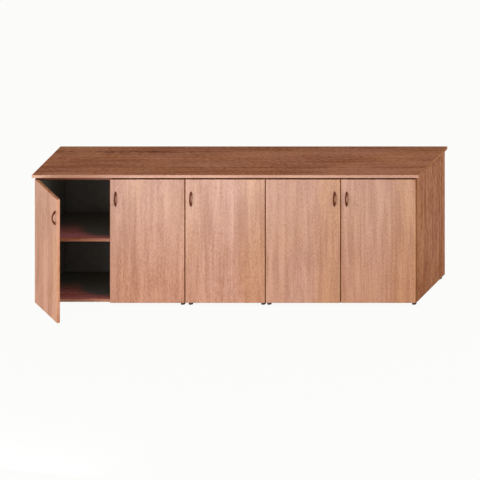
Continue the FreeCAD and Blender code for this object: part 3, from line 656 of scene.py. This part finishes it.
# %% Plain finishes
RAIL_SHEEN = {"Specular IOR Level": 0.25}
BACK_SHEEN = {"Specular IOR Level": 0.2}
HANDLE_SHEEN = {"Specular IOR Level": 0.1}
STEEL = {"Metallic": 1.0}
CLOUD_DETAIL = 3.0
CLOUD_GLOSS = 0.1                               # how much a cloud changes the roughness
SKIN_CELLS = 20                                 # cells of the skin for one of the cloud
COATING = written(110, 108, 102)
COATING_CLOUD = (0.6, 0.6, 0.6)                 # the coating's darkest, next to its lightest
FIBREBOARD = written(178, 134, 100)
FIBREBOARD_DARK = (0.66, 0.66, 0.66)
FIBREBOARD_GRAIN = (700.0, 3.0, 0.7)            # cells to the metre, detail and roughness
FIBREBOARD_SHARE = 0.7                          # how much of the tone follows the fibres, not the cloud
FIBREBOARD_SKIN = 0.1 * MM
HARDBOARD_CLOUD = 25.0                          # cells to the metre
HARDBOARD_ROUGHNESS = 0.68


def clouded(roughness, cloud):
    """A roughness that changes a little with the cloud."""
    return roughness + (cloud - NOISE_MEAN) * CLOUD_GLOSS


def plain_finish(name, light, dark, cells, roughness, lift, constants=None):
    """A moulded or coated surface: one colour, faintly clouded, with a fine skin."""
    material, place = new_finish(name)
    cloud = noise(place, cells, CLOUD_DETAIL)
    skin = noise(place, cells * SKIN_CELLS)
    base = mixed(written(*dark), written(*light), cloud)
    return fill_shader(material, base, clouded(roughness, cloud), skin, lift, constants)


def hardboard(name):
    """Dark coated towards the doors, and bare pressed fibre towards the wall."""
    material, place = new_finish(name)
    fibre = noise(place, *FIBREBOARD_GRAIN)
    cloud = noise(place, HARDBOARD_CLOUD, CLOUD_DETAIL)
    bare_tone = fibre * FIBREBOARD_SHARE + cloud * (1 - FIBREBOARD_SHARE)
    bare = mixed(tinted(FIBREBOARD, FIBREBOARD_DARK), FIBREBOARD, bare_tone)
    coated = mixed(tinted(COATING, COATING_CLOUD), COATING, cloud)
    base = mixed(coated, bare, looks(place, [-FRONTWARDS])) * painted_joint_shade(place)
    roughness = clouded(HARDBOARD_ROUGHNESS, cloud)
    return fill_shader(material, base, roughness, fibre, FIBREBOARD_SKIN, BACK_SHEEN)


back_board = hardboard("hardboard")
# The rails' dark colour is in part painted shade, for the gap under the worktop.
# Light and dark, cells of cloud to the metre, roughness, depth of the skin, and what is the same all over.
rail_board_and_shade = plain_finish("dark_melamine_and_shade", (128, 78, 56), (100, 59, 42), 90.0, 0.6, 0.02 * MM, RAIL_SHEEN)
handle_finish = plain_finish("handle_plastic", (112, 54, 30), (88, 40, 22), 90.0, 0.55, 0.03 * MM,
                             HANDLE_SHEEN)
foot_finish = plain_finish("foot_plastic", (42, 32, 27), (30, 22, 19), 200.0, 0.5, 0.05 * MM)
nickel = plain_finish("nickel_steel", (198, 195, 188), (164, 161, 154), 300.0, 0.42, 0.02 * MM, STEEL)
zinc = plain_finish("zinc_steel", (186, 188, 190), (150, 152, 156), 400.0, 0.42, 0.03 * MM, STEEL)
for cabinet in CABINETS:
    dress(f"{cabinet}_cabinet_back", back_board)
    dress(f"{cabinet}_cabinet_top_rails", rail_board_and_shade)
for number in DOORS:
    dress(f"door_{number}_handle", handle_finish)
print(len(bpy.data.materials), "materials")

# %% [markdown]
# ## Hinges and small fittings
# The frame already has the hinges' cups, gooseneck arms and plates. Stampings and castings have no knife
# edges, so a Weld and a Bevel modifier round them, which catches a thin line of light. The mesh below
# stays as it is.

# %% Rounded steel
WELD_REACH = 0.005 * MM
SHARP_FROM = math.radians(50)                   # edges that turn by more than this are rounded
ARM_ROUNDING = 0.35 * MM
CUP_ROUNDING = 0.15 * MM


def soften(node, width):
    """Rounds a CAD node's edges with modifiers."""
    holder = bpy.data.objects[node]
    weld = holder.modifiers.new("weld", "WELD")
    weld.merge_threshold = WELD_REACH
    bevel = holder.modifiers.new("edge", "BEVEL")
    bevel.width = width
    bevel.segments = 2
    bevel.limit_method = "ANGLE"
    bevel.angle_limit = SHARP_FROM


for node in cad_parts:
    if node.endswith(("hinge_arms", "hinge_plates", "hinge_cups")):
        dress(node, nickel)
        soften(node, CUP_ROUNDING if node.endswith("cups") else ARM_ROUNDING)
    elif node.endswith(("_pins", "_bolts")):
        dress(node, zinc)

# %% [markdown]
# ## Turned fittings
# Screws, cams and feet are all round about one axis. In the frame each is a plain solid; here each is
# turned again from rows of points, so that it can have a recess for the screwdriver, a thread or a ribbed
# grip. A row gives a radius and a height for every angle, which also makes shapes that aren't round: a
# cross recess is a row whose radius runs out along four arms.

# %% Finding the separate solids in a node
def solids_of(node):
    """The points of each separate solid in a CAD node."""
    work = bmesh.new()
    work.from_mesh(bpy.data.objects[node].data)
    bmesh.ops.remove_doubles(work, verts=work.verts, dist=0.01 * MM)
    seen = set()
    found = []
    for start in work.verts:
        if start in seen:
            continue
        seen.add(start)
        front = [start]
        points = []
        while front:
            vertex = front.pop()
            points.append(vertex.co.copy())
            for edge in vertex.link_edges:
                other = edge.other_vert(vertex)
                if other not in seen:
                    seen.add(other)
                    front.append(other)
        found.append(points)
    work.free()
    return found


def middle_of(points, way):
    """Where a turned solid's centre line crosses the plane through the origin."""
    side = way.orthogonal().normalized()
    centre = Vector((0.0, 0.0, 0.0))
    for axis in (side, way.cross(side)):
        reach = [point.dot(axis) for point in points]
        centre += axis * ((min(reach) + max(reach)) / 2)
    return centre


def off_line(point, centre, way):
    """How far a point lies from a solid's centre line."""
    return (point - centre - way * point.dot(way)).length


def turned_sizes(points, way):
    """Where a headed solid starts and ends, seen from outside its head, and the size of its head."""
    centre = middle_of(points, way)
    radii = [off_line(point, centre, way) for point in points]
    levels = [point.dot(way) for point in points]
    rim = max(range(len(points)), key=lambda index: round(radii[index], 6))
    low, high = min(levels), max(levels)
    head_is_high = high - levels[rim] < levels[rim] - low
    outer = high if head_is_high else low
    return {"way": way if head_is_high else -way, "top": centre + way * outer, "length": high - low,
            "head": radii[rim], "thickness": abs(outer - levels[rim])}


print("screws found", {node: len(solids_of(node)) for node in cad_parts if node.endswith("_screws")})

# %% Turning rows of points into a mesh
SMOOTH_UP_TO = math.radians(35)                 # edges that turn by less look smooth
ARM_MIDDLE = 0.001                              # nearer to an arm's middle than this, only its end counts


def round_row(radius, height):
    """The same radius at every angle."""
    return lambda angle: (radius, height)


def cross_row(length, width, height):
    """Four arms, for a cross recess: length from the middle to an arm's end, and half an arm's width."""
    def at(angle):
        turn = angle % (math.pi / 2)
        turn = min(turn, math.pi / 2 - turn)
        reach = length / math.cos(turn)
        if turn > ARM_MIDDLE:
            reach = min(reach, width / math.sin(turn))
        return reach, height
    return at


def cross_angles(length, width):
    """Angles for one turn that include every corner of a cross."""
    corner = math.atan2(width, length)
    quarter = (0.0, corner, math.radians(30), math.radians(45), math.radians(60), math.pi / 2 - corner)
    return [quadrant * math.pi / 2 + angle for quadrant in range(4) for angle in quarter]


def turn(work, top, way, angles, rows):
    """Adds one turned solid to the mesh: its rows run from the outer end inwards."""
    side = way.orthogonal().normalized()
    other = way.cross(side)
    rings = []
    for row in rows:
        ring = []
        for angle in angles:
            radius, height = row(angle)
            ring.append(work.verts.new(top + side * (radius * math.cos(angle))
                                       + other * (radius * math.sin(angle)) + way * height))
        rings.append(ring)
    count = len(angles)
    for ring, following in zip(rings, rings[1:]):
        for index in range(count):
            ahead = (index + 1) % count
            work.faces.new((ring[index], following[index], following[ahead], ring[ahead]))
    work.faces.new(rings[0])
    work.faces.new(list(reversed(rings[-1])))


def finish_piece(name, work, finish, body, node):
    """Makes an object of the mesh that stands for a CAD node and rides on its body."""
    bmesh.ops.recalc_face_normals(work, faces=work.faces)
    mesh = bpy.data.meshes.new(name)
    work.to_mesh(mesh)
    work.free()
    mesh.materials.append(finish)
    mesh.shade_smooth()
    mesh.set_sharp_from_angle(angle=SMOOTH_UP_TO)
    piece = bpy.data.objects.new(name, mesh)
    bpy.context.scene.collection.objects.link(piece)
    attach(piece, body)
    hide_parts(node)


print(len(cross_angles(1.0, 0.25)), "points round a cross")

# %% Cross-head screws
SHANK = 2.0 * MM
THREAD = 0.35 * MM                              # how far the thread stands out from the core
PITCH = 1.4 * MM
TIP_SHARE = 0.4                                 # radius at the tip, for a shank of 1
RECESS = (0.56, 0.15)                           # a recess arm's length and half width, for a head of 1
RECESS_FLOOR = (0.45, 0.8, 0.9)                 # shares of the arm, its half width, and the dome's depth
RECESS_WALL = (0.93, 0.93, 1.3)                 # the same, but of the dome's depth at the arm's end
DOME_SHARES = (0.68, 0.85, 0.97)                # radii of rows on the dome, for a head of 1
HEAD_EDGE = ((1.0, 0.97), (0.98, 1.0))          # shares of the head's radius and of its depth


def screw_rows(sizes):
    """Domed head with a cross recess, and a threaded shank."""
    head, dome, length = sizes["head"], sizes["thickness"], sizes["length"]
    arm, half = [head * share for share in RECESS]

    def on_dome(radius):
        return -dome * (radius / head) ** 2

    def recess_rim(angle):
        radius = cross_row(arm, half, 0.0)(angle)[0]
        return radius, on_dome(radius)

    rows = []
    for (along_arm, across_arm, deep), depth in ((RECESS_FLOOR, -dome), (RECESS_WALL, on_dome(arm))):
        rows.append(cross_row(arm * along_arm, half * across_arm, depth * deep))
    rows.append(recess_rim)
    rows += [round_row(head * share, on_dome(head * share)) for share in DOME_SHARES]
    rows += [round_row(head * share, -dome * deep) for share, deep in HEAD_EDGE]
    level = -dome
    while level > PITCH * 2 - length:
        rows += [round_row(SHANK - THREAD, level), round_row(SHANK, level - PITCH / 2)]
        level -= PITCH
    rows += [round_row(SHANK - THREAD, level), round_row(SHANK * TIP_SHARE, -length)]
    return cross_angles(arm, half), rows


def screws_for(node, way, body):
    """Turns every screw of a node again."""
    work = bmesh.new()
    solids = solids_of(node)
    for points in solids:
        sizes = turned_sizes(points, way)
        angles, rows = screw_rows(sizes)
        turn(work, sizes["top"], sizes["way"], angles, rows)
    finish_piece(node + "_detailed", work, zinc, body, node)
    return len(solids)


made = screws_for("hinge_screws", Vector((1.0, 0.0, 0.0)), "carcass")
made += screws_for("worktop_screws", UPWARDS, "carcass")
for number in DOORS:
    for kind in ("cup_screws", "handle_screws"):
        made += screws_for(f"door_{number}_{kind}", door_front(number), f"door_{number}")
print(made, "screws turned")

# %% Cams with a cross recess
CAM_RECESS = (0.62, 0.17)                       # a recess arm's length and half width, for a cam of 1
CAM_RECESS_FLOOR = (0.6, 0.7, 2.6 * MM)         # shares of the arm and of its half width, and how deep
CAM_LIP = 0.5 * MM
CAM_EDGE = 0.3 * MM
CAM_ROWS = (                                    # share of the radius, share of the depth, and more depth
    (0.74, 0.0, CAM_LIP), (0.8, 0.0, 0.0), (0.96, 0.0, 0.0), (1.0, 0.0, CAM_EDGE),
    (1.0, 0.3, 0.0), (0.86, 0.36, 0.0), (0.86, 0.7, 0.0), (1.0, 0.76, 0.0),
    (1.0, 1.0, -CAM_EDGE), (0.95, 1.0, 0.0),
)
LOWER_CAMS = 0.3                                # metres; below this a cam's face looks down


def cam_rows(radius, depth):
    """A cast cam: a cross recess, a raised lip, a waist and a plain end."""
    arm, half = [radius * share for share in CAM_RECESS]
    along_arm, across_arm, deep = CAM_RECESS_FLOOR
    rows = [cross_row(arm * along_arm, half * across_arm, -deep), cross_row(arm, half, -CAM_LIP)]
    rows += [round_row(radius * share, -(depth * part + more)) for share, part, more in CAM_ROWS]
    return cross_angles(arm, half), rows


work = bmesh.new()
for points in solids_of("cam_locks"):
    low = min(point.z for point in points)
    high = max(point.z for point in points)
    centre = middle_of(points, UPWARDS)
    radius = max(off_line(point, centre, UPWARDS) for point in points)
    angles, rows = cam_rows(radius, high - low)
    if low > LOWER_CAMS:
        turn(work, centre + UPWARDS * high, UPWARDS, angles, rows)
    else:
        turn(work, centre + UPWARDS * low, -UPWARDS, angles, rows)
finish_piece("cam_locks_detailed", work, zinc, "carcass", "cam_locks")
print("cams of", round(radius / MM, 2), "mm radius")

# %% [markdown]
# ## Feet
# The credenza stands on moulded glides that are pushed into the bottoms. A grip of fine ribs lets a thumb
# turn them, a groove parts it from the rounded pad, and a ring on the underside touches the floor.

# %% The feet
FOOT_RIBS = 24
RIB_DEPTH = 0.35 * MM
PAD_ROWS = (                                    # share of the pad's radius, and millimetres above the floor
    (0.5, 1.2), (0.62, 0.0), (0.74, 0.0), (0.84, 0.5), (0.91, 1.8), (0.93, 4.0), (0.94, 5.4),
    (0.90, 5.8), (0.90, 6.4),
)
RIB_START = (0.95, 6.8)
RIB_END = (0.98, 3.0)                           # from here on, millimetres below the cabinet
FLANGE_ROWS = ((0.98, 2.6), (1.0, 2.2), (1.0, 0.1))
SPIGOT_ROWS = ((1.0, 1.0), (0.8, 0.0))          # share of the spigot's radius, millimetres below its tip


def ribbed_row(radius, height):
    """Ridge and valley in turn."""
    def at(angle):
        ridge = round(angle / (math.pi / FOOT_RIBS)) % 2 == 0
        return (radius if ridge else radius - RIB_DEPTH, height)
    return at


def foot_rows(pad, tall, spigot, tip):
    """From the floor up: a hollow ring, the rounded pad, a groove, the ribs, a flange and the spigot."""
    rows = [round_row(pad * share, height * MM) for share, height in PAD_ROWS]
    rows.append(ribbed_row(pad * RIB_START[0], RIB_START[1] * MM))
    rows.append(ribbed_row(pad * RIB_END[0], tall - RIB_END[1] * MM))
    rows += [round_row(pad * share, tall - below * MM) for share, below in FLANGE_ROWS]
    rows.append(round_row(spigot, tall - FLANGE_ROWS[-1][1] * MM))
    return rows + [round_row(spigot * share, tip - below * MM) for share, below in SPIGOT_ROWS]


FOOT_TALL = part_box("left_cabinet_bottom")[0].z
work = bmesh.new()
whole_turn = [index * math.pi / FOOT_RIBS for index in range(2 * FOOT_RIBS)]
for points in solids_of("feet"):
    centre = middle_of(points, UPWARDS)
    radius = max(off_line(point, centre, UPWARDS) for point in points)
    tip = max(point.z for point in points)
    spigot = max(off_line(point, centre, UPWARDS) for point in points if point.z > tip - MM)
    turn(work, centre, UPWARDS, whole_turn, foot_rows(radius, FOOT_TALL, spigot, tip))
finish_piece("feet_detailed", work, foot_finish, "carcass", "feet")
print("feet of", round(radius / MM, 1), "mm radius,", round(FOOT_TALL / MM, 1), "mm high")

low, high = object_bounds()
print("visual box", [round(top - bottom, 4) for bottom, top in zip(low, high)])
